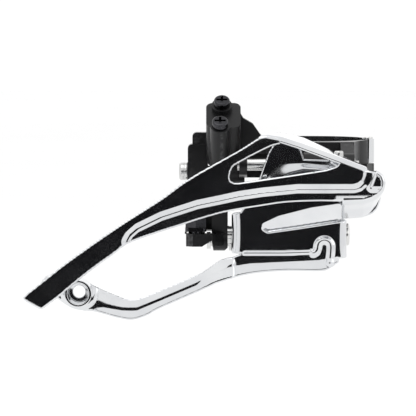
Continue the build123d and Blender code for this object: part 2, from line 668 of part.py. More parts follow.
with BuildPart() as bridge_rivet_top:
    with Locations((7.6, -39.0, 0.7)):
        Cylinder(RIVET_R, 5.4)
    fillet(bridge_rivet_top.edges().sort_by(Axis.Z)[-1], radius=0.6)
bridge_rivet_top.part.label = "bridge_rivet_top"

# --- moving axles ---
with BuildPart() as front_moving_axle:
    with BuildSketch(along_x(CAGE_EAR_LEFT - 0.02)):
        with Locations(AXLE_C):
            Circle(AXLE_R)
    extrude(amount=CAGE_EAR_RIGHT - CAGE_EAR_LEFT + 0.04)
    with BuildSketch(along_x(CAGE_EAR_LEFT - 1.3)):
        with Locations(AXLE_C):
            Circle(2.8)
    extrude(amount=1.28)
    with BuildSketch(along_x(CAGE_EAR_RIGHT + 0.02)):
        with Locations(AXLE_C):
            Circle(3.7)
    extrude(amount=1.1)
    fillet(front_moving_axle.edges().sort_by(Axis.X)[-1], radius=0.7)
front_moving_axle.part.label = "front_moving_axle"

with BuildPart() as rear_moving_axle:
    with BuildSketch(along_x(INNER_LINK_X[0] - 0.4)):
        with Locations(AXLE_D):
            Circle(AXLE_R)
    extrude(amount=CAGE_EAR_LEFT + SHEET - INNER_LINK_X[0] + 0.42)
    with BuildSketch(along_x(CAGE_EAR_LEFT + SHEET + 0.02)):
        with Locations(AXLE_D):
            Circle(3.0)
    extrude(amount=1.2)
    with BuildSketch(along_x(INNER_LINK_X[0] - 1.6)):
        with Locations(AXLE_D):
            Circle(2.8)
    extrude(amount=1.3)
rear_moving_axle.part.label = "rear_moving_axle"

with BuildPart() as rear_moving_washer:
    with BuildSketch(along_x(CAGE_EAR_LEFT - 0.8)):
        with Locations(AXLE_D):
            Circle(3.4)
            Circle(AXLE_R + PRESS_GAP, mode=Mode.SUBTRACT)
    extrude(amount=0.78)
rear_moving_washer.part.label = "rear_moving_washer"

for built in (bracket_body, clamp_hinge_pin, clamp_band, clamp_washer, clamp_bolt, front_fixed_axle,
              rear_fixed_axle, rear_axle_washer, outer_link, return_spring, inner_link,
              cable_anchor_washer, cable_anchor_bolt, cage_outer_plate,
              cage_inner_plate, tail_spacer, bridge_rivet_front, bridge_rivet_top, front_moving_axle,
              rear_moving_axle, rear_moving_washer):
    export_step(built.part, f"parts/{built.part.label}.step")
for loose in (inner_limit_screw, outer_limit_screw, outer_link_bush_left, outer_link_bush_right,
              inner_link_bush):
    export_step(loose, f"parts/{loose.label}.step")
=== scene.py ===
"""Front derailleur of the band-clamp kind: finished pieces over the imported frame."""

import json
import logging
import math
from dataclasses import dataclass, field
from enum import Enum

import bpy
import numpy as np
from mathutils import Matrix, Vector

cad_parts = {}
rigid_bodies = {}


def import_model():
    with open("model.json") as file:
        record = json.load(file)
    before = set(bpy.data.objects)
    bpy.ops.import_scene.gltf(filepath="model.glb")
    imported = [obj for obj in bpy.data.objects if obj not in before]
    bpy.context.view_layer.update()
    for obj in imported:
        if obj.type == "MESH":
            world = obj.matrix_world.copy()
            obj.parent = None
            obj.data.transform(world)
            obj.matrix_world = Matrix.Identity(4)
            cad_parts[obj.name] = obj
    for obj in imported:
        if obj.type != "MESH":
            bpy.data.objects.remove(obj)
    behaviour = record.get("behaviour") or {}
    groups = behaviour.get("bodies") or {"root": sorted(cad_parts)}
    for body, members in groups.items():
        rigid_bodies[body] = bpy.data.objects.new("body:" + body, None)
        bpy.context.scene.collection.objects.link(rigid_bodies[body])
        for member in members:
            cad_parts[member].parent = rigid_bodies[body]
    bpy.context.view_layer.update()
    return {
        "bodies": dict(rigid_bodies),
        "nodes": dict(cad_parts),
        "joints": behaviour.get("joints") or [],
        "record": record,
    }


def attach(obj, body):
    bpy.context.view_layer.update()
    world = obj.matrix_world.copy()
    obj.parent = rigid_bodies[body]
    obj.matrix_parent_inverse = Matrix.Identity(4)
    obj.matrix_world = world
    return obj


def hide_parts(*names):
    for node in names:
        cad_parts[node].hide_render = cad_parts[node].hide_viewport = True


MM = 0.001
LOG = logging.getLogger("derailleur")

# Front bridge's rivet hole, which the outer plate's tab and the inner plate share, in millimetres.
RIVET_PLACE = (15.2, -11.0)
RIVET_HOLE = 1.55


class Body(str, Enum):
    """Moving group that the finished plates ride on."""

    CAGE = "cage"


class Slot(str, Enum):
    """Material slots of the record."""

    CHROMED = "chromed_plate"
    STEEL = "bright_steel"
    BLACK = "black_paint"
    SPRING = "spring_steel"
    BLACK_STEEL = "black_steel"
    BRONZE = "bronze"


# ---------------------------------------------------------------- curves and fields


def smooth_line(points: list[tuple[float, float]], per_span: int = 8) -> np.ndarray:
    """Rounds a run of points with a Catmull-Rom curve.

    Args:
        points: corner points in millimetres; the curve passes through each.
        per_span: points made on each span.

    Returns:
        Array of shape (n, 2) from the first point to the last.
    """
    p = np.asarray(points, float)
    ends = np.vstack([2 * p[0] - p[1], p, 2 * p[-1] - p[-2]])
    t = np.linspace(0, 1, per_span, endpoint=False)[:, None, None]
    a, b, c, d = ends[:-3], ends[1:-2], ends[2:-1], ends[3:]
    square, cube = 2 * a - 5 * b + 4 * c - d, 3 * b - a - 3 * c + d
    curve = 0.5 * (2 * b + (c - a) * t + square * t**2 + cube * t**3)
    return np.vstack([curve.transpose(1, 0, 2).reshape(-1, 2), p[-1:]])


def circle(centre: tuple[float, float], radius: float, count: int = 48) -> np.ndarray:
    """Closed round outline about a centre, in millimetres."""
    a = np.linspace(0, 2 * math.pi, count, endpoint=False)
    return np.stack([centre[0] + radius * np.cos(a), centre[1] + radius * np.sin(a)], 1)


def line_distance(points: np.ndarray, path: np.ndarray, closed: bool) -> tuple[np.ndarray, np.ndarray]:
    """Distance from points to a path, and the nearest place on it.

    Args:
        points: (n, 2) places in millimetres.
        path: (m, 2) corners of the path.
        closed: True if the path ends where it starts.

    Returns:
        Distances of shape (n,) and nearest places of shape (n, 2).
    """
    a = path if closed else path[:-1]
    b = np.roll(path, -1, 0) if closed else path[1:]
    ab = b - a
    length = np.maximum((ab**2).sum(1), 1e-12)
    t = np.clip(((points[:, None] - a) * ab).sum(2) / length, 0, 1)
    near = a + t[..., None] * ab
    gap = np.sqrt(((points[:, None] - near) ** 2).sum(2))
    best = gap.argmin(1)
    rows = np.arange(len(points))
    return gap[rows, best], near[rows, best]


def inside(points: np.ndarray, outline: np.ndarray) -> np.ndarray:
    """Finds which points lie in a closed outline, by counting crossings.

    Args:
        points: (n, 2) places in millimetres.
        outline: (m, 2) corners of the outline.

    Returns:
        True for each point that lies inside.
    """
    x, z = points[:, :1], points[:, 1:]
    x1, z1 = outline.T
    x2, z2 = np.roll(outline, -1, 0).T
    rise = np.where(np.abs(z2 - z1) < 1e-12, 1e-12, z2 - z1)
    crosses = ((z1 > z) != (z2 > z)) & (x < (x2 - x1) * (z - z1) / rise + x1)
    return crosses.sum(1) % 2 == 1


def inset(outline: np.ndarray, amount: np.ndarray | float) -> np.ndarray:
    """Moves each point of a closed outline into its shape.

    Args:
        outline: (n, 2) corners, in either direction round the shape.
        amount: distance for all points or for each; negative distances enlarge the shape.

    Returns:
        The moved corners.
    """
    after = np.roll(outline, -1, 0) - outline
    after = after / np.maximum(np.linalg.norm(after, axis=1, keepdims=True), 1e-9)
    before = np.roll(after, 1, 0)
    turned = np.stack([-after[:, 1] - before[:, 1], after[:, 0] + before[:, 0]], 1)
    turned /= np.maximum(np.linalg.norm(turned, axis=1, keepdims=True), 1e-9)
    mitre = np.clip(after[:, 0] * turned[:, 1] - after[:, 1] * turned[:, 0], 0.6, 1.0)
    nxt = np.roll(outline, -1, 0)
    side = np.sign((outline[:, 0] * nxt[:, 1] - nxt[:, 0] * outline[:, 1]).sum())
    return outline + turned * (side * amount / mitre)[:, None]


def soft_step(t: np.ndarray) -> np.ndarray:
    """Eases from 0 to 1 as t goes from 0 to 1."""
    t = np.clip(t, 0, 1)
    return t * t * (3 - 2 * t)


@dataclass(frozen=True)
class Joggle:
    """Slope pressed between two lines that both run along X.

    The sheet is level above the upper line, slopes between the lines, and lies `depth` millimetres
    nearer the chain side below the lower one, or further from it where `depth` is negative. `back` is
    the width over which it returns to level below the lower line, and 0 leaves it there. The slope
    dies out over `LEFT_FADE` at the lines' left end and over `right_fade` at their right end.
    """

    LEFT_FADE = 1.5
    LEAST_SPAN = 0.2
    STRAIGHT = 0.75

    upper: tuple
    lower: tuple
    depth: float
    back: float = 0.0
    right_fade: float = 0.8

    def height(self, p: np.ndarray) -> np.ndarray:
        """Height of the feature over the flat sheet.

        Args:
            p: (n, 2) places in millimetres.

        Returns:
            Height at each place, towards the chain side, in millimetres.
        """
        up, low = np.asarray(self.upper, float), np.asarray(self.lower, float)
        z_up = np.interp(p[:, 0], up[:, 0], up[:, 1])
        z_low = np.interp(p[:, 0], low[:, 0], low[:, 1])
        span = np.maximum(z_up - z_low, self.LEAST_SPAN)
        t = (z_up - p[:, 1]) / span
        h = np.clip(t, 0, 1) * self.STRAIGHT + soft_step(t) * (1 - self.STRAIGHT)
        if self.back:
            h = h * (1 - soft_step((z_low - p[:, 1]) / self.back))
        left = soft_step((p[:, 0] - up[0, 0]) / self.LEFT_FADE)
        right = soft_step((up[-1, 0] - p[:, 0]) / self.right_fade)
        return self.depth * h * (left * right)


@dataclass(frozen=True)
class Step:
    """Closed area pressed to one level, reached up a slope of width `slope` outside its edge.

    The slope has a narrow ledge two thirds of the way down; LEVELS gives its section.
    """

    LEVELS = ((0.0, 0.08, 0.56, 0.7, 1.0), (0.0, 0.05, 0.62, 0.64, 1.0))

    outline: tuple
    depth: float
    slope: float

    def height(self, p: np.ndarray) -> np.ndarray:
        """Height of the feature over the flat sheet.

        Args:
            p: (n, 2) places in millimetres.

        Returns:
            Height at each place, towards the chain side, in millimetres.
        """
        shape = np.asarray(self.outline, float)
        gap, _ = line_distance(p, shape, True)
        t = np.where(inside(p, shape), 1.0, 1.0 - gap / self.slope)
        return self.depth * np.interp(t, self.LEVELS[0], self.LEVELS[1])


@dataclass(frozen=True)
class Bead:
    """Rounded rib of even width along a line, with a raised-cosine section."""

    path: tuple
    width: float
    depth: float

    def height(self, p: np.ndarray) -> np.ndarray:
        """Height in millimetres towards the chain side at places p."""
        gap, _ = line_distance(p, np.asarray(self.path, float), False)
        return self.depth * 0.5 * (1 + np.cos(np.pi * np.clip(2 * gap / self.width, 0, 1)))


@dataclass(frozen=True)
class Pad:
    """Closed area that is raised or sunk, with a sloped rim of width `rim`."""

    outline: tuple
    depth: float
    rim: float

    def height(self, p: np.ndarray) -> np.ndarray:
        """Height of the feature over the flat sheet.

        Args:
            p: (n, 2) places in millimetres.

        Returns:
            Height at each place, towards the chain side, in millimetres.
        """
        shape = np.asarray(self.outline, float)
        gap, _ = line_distance(p, shape, True)
        signed = np.where(inside(p, shape), gap, -gap)
        return self.depth * soft_step(signed / self.rim + 0.5)


# ---------------------------------------------------------------- meshes


@dataclass
class MeshData:
    """Vertices in millimetres (X, Y, Z) and quads or triangles that use them."""

    vertices: np.ndarray
    faces: np.ndarray

    def joined(self, other: "MeshData") -> "MeshData":
        """Both meshes in one, with the other's faces renumbered."""
        faces = np.vstack([self.faces, other.faces + len(self.vertices)])
        return MeshData(np.vstack([self.vertices, other.vertices]), faces)

    def welded(self) -> "MeshData":
        """Makes vertices at the same place one.

        Returns:
            The mesh without its doubles.
        """
        places = np.round(self.vertices, 3)
        _, first, label = np.unique(places, axis=0, return_index=True, return_inverse=True)
        return MeshData(self.vertices[first], label.reshape(-1)[self.faces])

    def to_object(self, name: str) -> bpy.types.Object:
        """Makes a smooth-shaded object at the origin whose mesh is in metres.

        Args:
            name: the object's name, and its mesh's.

        Returns:
            The object, linked to the scene.
        """
        mesh = bpy.data.meshes.new(name)
        mesh.from_pydata((self.vertices * MM).tolist(), [], self.faces.tolist())
        mesh.validate()
        mesh.shade_smooth()
        obj = bpy.data.objects.new(name, mesh)
        bpy.context.scene.collection.objects.link(obj)
        return obj


@dataclass
class PressedSheet:
    """Flat sheet cut to an outline, with holes and pressed features, square to Y.

    A square grid covers the outline. Grid points within reach of an edge are moved onto it, and cells
    wholly inside are kept. Each point's Y is the sheet's middle plane less the sum of the features.
    """

    SNAP = 0.56
    CORNER = math.radians(35)

    outline: np.ndarray
    holes: list = field(default_factory=list)
    features: list = field(default_factory=list)
    middle_y: float = 0.0
    step: float = 0.32

    def build(self) -> MeshData:
        """Computes the sheet's middle surface.

        Returns:
            The surface as quads.
        """
        low, high = self.outline.min(0) - self.step, self.outline.max(0) + self.step
        xs, zs = (np.arange(low[i], high[i] + self.step, self.step) for i in (0, 1))
        grid = np.stack(np.meshgrid(xs, zs, indexing="ij"), -1).reshape(-1, 2)
        signed = self._signed(grid)
        for path in [self.outline, *self.holes]:
            gap, near = line_distance(grid, path, True)
            close = gap < self.SNAP * self.step
            grid[close] = near[close]
            signed[close] = 0.0
        corners = self._corners()
        if len(corners):
            reach = np.sqrt(((grid[:, None] - corners) ** 2).sum(2))
            for index, corner in zip(reach.argmin(0), corners):
                grid[index] = corner
                signed[index] = 0.0
        columns = len(zs)
        first = np.arange(len(xs) - 1)[:, None] * columns + np.arange(columns - 1)
        quads = np.stack([first, first + columns, first + columns + 1, first + 1], -1).reshape(-1, 4)
        keep = (signed[quads] >= -1e-9).all(1) & (signed[quads].max(1) > 0)
        quads = quads[keep]
        used, compact = np.unique(quads, return_inverse=True)
        flat = grid[used]
        y = np.full(len(flat), self.middle_y)
        for feature in self.features:
            y -= feature.height(flat)
        vertices = np.stack([flat[:, 0], y, flat[:, 1]], 1)
        return MeshData(vertices, compact.reshape(-1, 4))

    def _signed(self, p: np.ndarray) -> np.ndarray:
        """Distance from the sheet's nearest edge.

        Args:
            p: (n, 2) places in millimetres.

        Returns:
            Distance at each place, negative outside the sheet or in a hole.
        """
        gap, _ = line_distance(p, self.outline, True)
        result = np.where(inside(p, self.outline), gap, -gap)
        for hole in self.holes:
            gap, _ = line_distance(p, hole, True)
            result = np.minimum(result, np.where(inside(p, hole), -gap, gap))
        return result

    def _corners(self) -> np.ndarray:
        """Finds where the outline turns by more than the CORNER angle.

        Returns:
            The outline's points there.
        """
        before = self.outline - np.roll(self.outline, 1, 0)
        after = np.roll(self.outline, -1, 0) - self.outline
        cross = before[:, 0] * after[:, 1] - before[:, 1] * after[:, 0]
        turn = np.arctan2(cross, (before * after).sum(1))
        return self.outline[np.abs(turn) > self.CORNER]


@dataclass
class Fold:
    """Flange that leaves a sheet round a bend and runs straight to its far edge.

    `start`, `corner` and `end` are lines of (X, Y, Z) points with equal counts. The section is a
    quadratic curve from start towards the corner, which ends `lead` of the way from corner to end,
    and then a straight run.
    """

    ON_LINE = 0.03
    SPACING = 0.6

    start: np.ndarray
    corner: np.ndarray
    end: np.ndarray
    lead: float = 0.25
    across: int = 12
    step: float = 0.4

    def attach(self, sheet: MeshData) -> MeshData:
        """Adds the flange to a sheet whose edge runs along `start`, sharing its edge vertices.

        Args:
            sheet: the middle surface that the flange leaves.

        Returns:
            The sheet and the flange as one surface.
        """
        line = self.start[:, [0, 2]]
        flat = sheet.vertices[:, [0, 2]]
        gap, near = line_distance(flat, line, False)
        on_line = gap < self.ON_LINE
        places = self._along(near[on_line])
        order = np.argsort(places)
        places, rows = places[order], sheet.vertices[on_line][order]
        length = self._lengths()[-1]
        even = np.linspace(0, 1, max(2, int(length / self.step)))
        spare = even[np.abs(even[:, None] - places).min(1) * length > self.SPACING * self.step]
        everywhere = np.concatenate([places, spare])
        starts = np.vstack([rows, self._at(self.start, spare)])
        order = np.argsort(everywhere)
        return sheet.joined(self._grid(starts[order], everywhere[order])).welded()

    def _lengths(self) -> np.ndarray:
        """Length run along `start` at each of its points."""
        pieces = np.linalg.norm(np.diff(self.start[:, [0, 2]], axis=0), axis=1)
        return np.concatenate([[0.0], np.cumsum(pieces)])

    def _along(self, p: np.ndarray) -> np.ndarray:
        """How far along the start line places lie.

        Args:
            p: (n, 2) places on the line, in millimetres.

        Returns:
            Share of the line's length at each place, from 0 to 1.
        """
        line, lengths = self.start[:, [0, 2]], self._lengths()
        piece = line[1:] - line[:-1]
        size = np.maximum((piece**2).sum(1), 1e-12)
        t = np.clip(((p[:, None] - line[:-1]) * piece).sum(2) / size, 0, 1)
        gap = ((p[:, None] - (line[:-1] + t[..., None] * piece)) ** 2).sum(2)
        best = gap.argmin(1)
        rows = np.arange(len(p))
        return (lengths[best] + t[rows, best] * (lengths[1:] - lengths[:-1])[best]) / lengths[-1]

    def _at(self, line: np.ndarray, share: np.ndarray) -> np.ndarray:
        """Places on a line of points at shares of the start line's length."""
        source = self._lengths() / self._lengths()[-1]
        return np.stack([np.interp(share, source, line[:, i]) for i in range(3)], 1)

    def _grid(self, s: np.ndarray, share: np.ndarray) -> MeshData:
        """Works out the flange's middle surface.

        Args:
            s: (n, 3) points on the start line.
            share: share of the line's length at each of them.

        Returns:
            The surface, with its faces turned to the chain side.
        """
        c, e = self._at(self.corner, share), self._at(self.end, share)
        knee = c + self.lead * (e - c)
        t = np.linspace(0, 1, self.across)[:, None, None]
        bend = (1 - t) ** 2 * s + 2 * t * (1 - t) * c + t**2 * knee
        run = knee + np.linspace(0, 1, self.across)[1:, None, None] * (e - knee)
        rows = np.concatenate([bend, run])
        count_v, count_u = rows.shape[:2]
        first = np.arange(count_v - 1)[:, None] * count_u + np.arange(count_u - 1)
        quads = np.stack([first, first + 1, first + count_u + 1, first + count_u], -1).reshape(-1, 4)
        flat = rows.reshape(-1, 3)
        a, b, d = (flat[quads[: count_u - 1, i]] for i in (0, 1, 3))
        if np.cross(b - a, d - a)[:, 1].sum() > 0:
            quads = quads[:, ::-1]
        return MeshData(flat, quads)


@dataclass(frozen=True)
class Shell:
    """Gives a middle surface its thickness and rolls its free edges to a radius, in millimetres.

    The free edges of the middle surface lie one radius inside the finished edges.
    """

    thickness: float
    radius: float
    rings: int = 4

    def build(self, middle: MeshData) -> MeshData:
        """Computes the closed surface of the sheet.

        Args:
            middle: the sheet's middle surface.

        Returns:
            Both faces and the rolled edges between them.
        """
        v, f = middle.vertices, middle.faces
        count = len(v)
        across = np.cross(v[f[:, 2]] - v[f[:, 0]], v[f[:, 3]] - v[f[:, 1]])
        normal = self._unit(self._gather(f, across, count))
        edges = np.concatenate([f[:, [i, (i + 1) % 4]] for i in range(4)])
        owner = np.tile(np.arange(len(f)), 4)
        key = edges.min(1) * count + edges.max(1)
        _, first, uses = np.unique(key, return_index=True, return_counts=True)
        free = first[uses == 1]
        rim = edges[free]
        out = self._unit(np.cross(v[rim[:, 1]] - v[rim[:, 0]], across[owner[free]]))
        outward = self._unit(self._gather(rim, out, count))
        used = np.unique(rim)
        label = np.zeros(count, int)
        label[used] = np.arange(len(used))
        half = self.thickness / 2
        turn = np.linspace(0, math.pi / 2, self.rings + 1)[1:]
        rise = half - self.radius * (1 - np.cos(turn))
        rise = np.concatenate([rise, -rise[::-1]])
        reach = self.radius * np.sin(np.concatenate([turn, turn[::-1]]))
        rows = v[used] + outward[used] * reach[:, None, None] + normal[used] * rise[:, None, None]
        rolled = 2 * count + label[rim] + np.arange(len(rise))[:, None, None] * len(used)
        layers = np.concatenate([rim[None], rolled, rim[None] + count])
        upper, lower = layers[:-1], layers[1:]
        band = np.stack([upper[..., 1], upper[..., 0], lower[..., 0], lower[..., 1]], -1).reshape(-1, 4)
        vertices = np.concatenate([v + normal * half, v - normal * half, rows.reshape(-1, 3)])
        return MeshData(vertices, np.concatenate([f, f[:, ::-1] + count, band]))

    @staticmethod
    def _gather(ends: np.ndarray, values: np.ndarray, count: int) -> np.ndarray:
        """Sums each row of values onto the vertices named in the same row.

        Args:
            ends: vertex numbers, one row for each row of values.
            values: (n, 3) vectors to add.
            count: number of vertices.

        Returns:
            Array of shape (count, 3) with each vertex's sum.
        """
        total = np.zeros((count, 3))
        for column in ends.T:
            np.add.at(total, column, values)
        return total

    @staticmethod
    def _unit(vectors: np.ndarray) -> np.ndarray:
        """Vectors scaled to length one."""
        return vectors / np.maximum(np.linalg.norm(vectors, axis=-1, keepdims=True), 1e-12)


# ---------------------------------------------------------------- finishes


class Nodes:
    """Small helper that adds and links nodes in one tree."""

    def __init__(self, tree: bpy.types.NodeTree) -> None:
        """Keeps the tree to work on."""
        self.tree = tree

    def add(self, kind: str, **inputs: object) -> bpy.types.Node:
        """Adds a node and fills its inputs.

        Args:
            kind: the node's type.
            **inputs: value or socket for the input of that name, with _ for a space.

        Returns:
            The node.
        """
        node = self.tree.nodes.new(kind)
        for name, value in inputs.items():
            self.feed(node.inputs[name.replace("_", " ")], value)
        return node

    def feed(self, socket: bpy.types.NodeSocket, value: object) -> None:
        """Links another socket into this one, or sets its value.

        Args:
            socket: the input to fill.
            value: a socket to link, or a constant.
        """
        if isinstance(value, bpy.types.NodeSocket):
            self.tree.links.new(value, socket)
        else:
            socket.default_value = value

    def math(self, operation: str, a: object, b: object = 0.0, clamp: bool = False) -> bpy.types.NodeSocket:
        """Adds a Math node.

        Args:
            operation: the node's operation.
            a: first value or socket.
            b: second value or socket.
            clamp: True to keep the result between 0 and 1.

        Returns:
            The result's socket.
        """
        node = self.tree.nodes.new("ShaderNodeMath")
        node.operation = operation
        node.use_clamp = clamp
        self.feed(node.inputs[0], a)
        self.feed(node.inputs[1], b)
        return node.outputs[0]

    def spread(
        self, value: object, low: float, high: float, to_low: float, to_high: float
    ) -> bpy.types.NodeSocket:
        """Maps a value from one range to another, clamped.

        Args:
            value: value or socket to map.
            low: start of the range it comes from.
            high: end of that range.
            to_low: result at `low`.
            to_high: result at `high`.

        Returns:
            The result's socket.
        """
        node = self.add("ShaderNodeMapRange", Value=value)
        ends = {"From Min": low, "From Max": high, "To Min": to_low, "To Max": to_high}
        for name, number in ends.items():
            node.inputs[name].default_value = number
        return node.outputs[0]

    def mix(self, factor: object, a: object, b: object) -> bpy.types.NodeSocket:
        """Mixes two colours.

        Args:
            factor: share of the second colour, as a value or socket.
            a: first colour.
            b: second colour.

        Returns:
            The mixed colour's socket.
        """
        node = self.tree.nodes.new("ShaderNodeMix")
        node.data_type = "RGBA"
        self.feed(node.inputs["Factor"], factor)
        self.feed(node.inputs[6], a)
        self.feed(node.inputs[7], b)
        return node.outputs[2]


def new_material(name: str) -> tuple[bpy.types.Material, Nodes, bpy.types.Node]:
    """Starts a material.

    Args:
        name: the material's name.

    Returns:
        The material, a node helper for it and its shader.
    """
    material = bpy.data.materials.new(name)
    material.use_nodes = True
    return material, Nodes(material.node_tree), material.node_tree.nodes["Principled BSDF"]


def effect_group(
    name: str, outputs: tuple[str, ...], inputs: dict[str, float]
) -> tuple[bpy.types.NodeTree, Nodes]:
    """Starts a shader node group with float inputs and outputs.

    Args:
        name: the group's name.
        outputs: names of its value outputs.
        inputs: names and defaults of its value inputs.

    Returns:
        The group and a node helper for it.
    """
    group = bpy.data.node_groups.new(name, "ShaderNodeTree")
    for label, value in inputs.items():
        socket = group.interface.new_socket(label, in_out="INPUT", socket_type="NodeSocketFloat")
        socket.default_value = value
    for label in outputs:
        group.interface.new_socket(label, in_out="OUTPUT", socket_type="NodeSocketFloat")
    return group, Nodes(group)


class Effects:
    """Node groups that several finishes share."""

    def __init__(self) -> None:
        """Makes the groups once."""
        self.wear = self._edge_wear()
        self.scratches = self._scratches()
        self.grain = self._grain()

    def _edge_wear(self) -> bpy.types.NodeTree:
        """Mask that is 1 on rubbed convex edges, broken up by noise.

        Returns:
            The node group.
        """
        group, n = effect_group("edge_wear", ("Mask",), {"Amount": 0.5, "Breakup": 900.0})
        given = group.nodes.new("NodeGroupInput")
        made = group.nodes.new("NodeGroupOutput")
        place = n.add("ShaderNodeTexCoord").outputs["Object"]
        noise = n.add("ShaderNodeTexNoise", Vector=place, Scale=given.outputs["Breakup"], Detail=3.0)
        point = n.add("ShaderNodeNewGeometry").outputs["Pointiness"]
        edge = n.spread(point, 0.53, 0.62, 0.0, 1.0)
        broken = n.math("MULTIPLY", edge, n.spread(noise.outputs["Fac"], 0.42, 0.6, 0.0, 1.0))
        n.feed(made.inputs["Mask"], n.math("MULTIPLY", broken, given.outputs["Amount"], clamp=True))
        return group

    def _scratches(self) -> bpy.types.NodeTree:
        """Mask of fine hairline marks, from noise stretched in two directions.

        Returns:
            The node group.
        """
        group, n = effect_group("scratches", ("Mask",), {"Amount": 0.5, "Fineness": 1.0})
        given = group.nodes.new("NodeGroupInput")
        made = group.nodes.new("NodeGroupOutput")
        place = n.add("ShaderNodeTexCoord").outputs["Object"]
        masks = []
        for turn, stretch in ((0.6, (60.0, 900.0, 2600.0)), (-0.9, (2400.0, 900.0, 90.0))):
            frame = n.add("ShaderNodeMapping", Vector=place)
            frame.inputs["Rotation"].default_value = (0.0, turn, 0.0)
            frame.inputs["Scale"].default_value = stretch
            noise = n.add("ShaderNodeTexNoise", Vector=frame.outputs[0], Detail=2.0)
            n.feed(noise.inputs["Scale"], given.outputs["Fineness"])
            masks.append(n.spread(noise.outputs["Fac"], 0.66, 0.74, 0.0, 1.0))
        both = n.math("MAXIMUM", masks[0], masks[1])
        n.feed(made.inputs["Mask"], n.math("MULTIPLY", both, given.outputs["Amount"], clamp=True))
        return group

    def _grain(self) -> bpy.types.NodeTree:
        """Even fine grain between 0 and 1, with a slow cloud over it.

        Returns:
            The node group.
        """
        group, n = effect_group("grain", ("Fine", "Cloud"), {"Scale": 2500.0})
        given = group.nodes.new("NodeGroupInput")
        made = group.nodes.new("NodeGroupOutput")
        place = n.add("ShaderNodeTexCoord").outputs["Object"]
        fine = n.add("ShaderNodeTexNoise", Vector=place, Scale=given.outputs["Scale"], Detail=2.0)
        cloud = n.add("ShaderNodeTexNoise", Vector=place, Scale=70.0, Detail=4.0)
        n.feed(made.inputs["Fine"], fine.outputs["Fac"])
        n.feed(made.inputs["Cloud"], cloud.outputs["Fac"])
        return group


@dataclass(frozen=True)
class MetalFinish:
    """Bare or plated metal.

    `tint` and `shade` are the colour's light and dark ends, `smooth` and `rough` the roughness range,
    `marks` how strong hairline scratches are, and `relief` the bump's depth in millimetres.
    """

    name: str
    tint: tuple[float, float, float]
    shade: tuple[float, float, float]
    smooth: float
    rough: float
    marks: float
    relief: float
    grain_scale: float = 2500.0

    def build(self, effects: Effects) -> bpy.types.Material:
        """Makes the material.

        Args:
            effects: the shared node groups.

        Returns:
            The material.
        """
        material, n, shader = new_material(self.name)
        grain = n.add("ShaderNodeGroup")
        grain.node_tree = effects.grain
        grain.inputs["Scale"].default_value = self.grain_scale
        scratch = n.add("ShaderNodeGroup")
        scratch.node_tree = effects.scratches
        scratch.inputs["Amount"].default_value = self.marks
        wear = n.add("ShaderNodeGroup")
        wear.node_tree = effects.wear
        cloud = n.spread(grain.outputs["Cloud"], 0.35, 0.65, 0.0, 1.0)
        colour = n.mix(cloud, (*self.shade, 1.0), (*self.tint, 1.0))
        rough = n.spread(cloud, 0.0, 1.0, self.rough, self.smooth)
        rough = n.math("ADD", rough, n.math("MULTIPLY", scratch.outputs["Mask"], 0.12))
        rough = n.math("ADD", rough, n.math("MULTIPLY", wear.outputs["Mask"], 0.08), clamp=True)
        surface = n.math("SUBTRACT", grain.outputs["Fine"], scratch.outputs["Mask"])
        bump = n.add("ShaderNodeBump", Height=surface)
        bump.inputs["Distance"].default_value = self.relief * MM
        bump.inputs["Strength"].default_value = 0.5
        shader.inputs["Metallic"].default_value = 1.0
        n.feed(shader.inputs["Base Color"], colour)
        n.feed(shader.inputs["Roughness"], rough)
        n.feed(shader.inputs["Normal"], bump.outputs[0])
        return material


@dataclass(frozen=True)
class CoatFinish:
    """Satin paint over die-cast metal that shows at rubbed edges."""

    name: str
    colour: tuple[float, float, float]
    worn: tuple[float, float, float]
    roughness: float
    texture: float

    def build(self, effects: Effects) -> bpy.types.Material:
        """Makes the material.

        Args:
            effects: the shared node groups.

        Returns:
            The material.
        """
        material, n, shader = new_material(self.name)
        grain = n.add("ShaderNodeGroup")
        grain.node_tree = effects.grain
        grain.inputs["Scale"].default_value = 1600.0
        wear = n.add("ShaderNodeGroup")
        wear.node_tree = effects.wear
        wear.inputs["Amount"].default_value = 0.35
        cloud = n.spread(grain.outputs["Cloud"], 0.2, 0.8, 0.0, 1.0)
        lighter = tuple(min(1.0, c * 1.35 + 0.001) for c in self.colour)
        base = n.mix(cloud, (*self.colour, 1.0), (*lighter, 1.0))
        colour = n.mix(wear.outputs["Mask"], base, (*self.worn, 1.0))
        rough = n.spread(cloud, 0.0, 1.0, self.roughness - 0.02, self.roughness + 0.03)
        rough = n.math("ADD", rough, n.math("MULTIPLY", grain.outputs["Fine"], 0.06), clamp=True)
        bump = n.add("ShaderNodeBump", Height=grain.outputs["Fine"])
        bump.inputs["Distance"].default_value = self.texture * MM
        bump.inputs["Strength"].default_value = 0.35
        shader.inputs["Specular IOR Level"].default_value = 0.28
        n.feed(shader.inputs["Base Color"], colour)
        n.feed(shader.inputs["Metallic"], n.math("MULTIPLY", wear.outputs["Mask"], 0.7))
        n.feed(shader.inputs["Roughness"], rough)
        n.feed(shader.inputs["Normal"], bump.outputs[0])
        return material


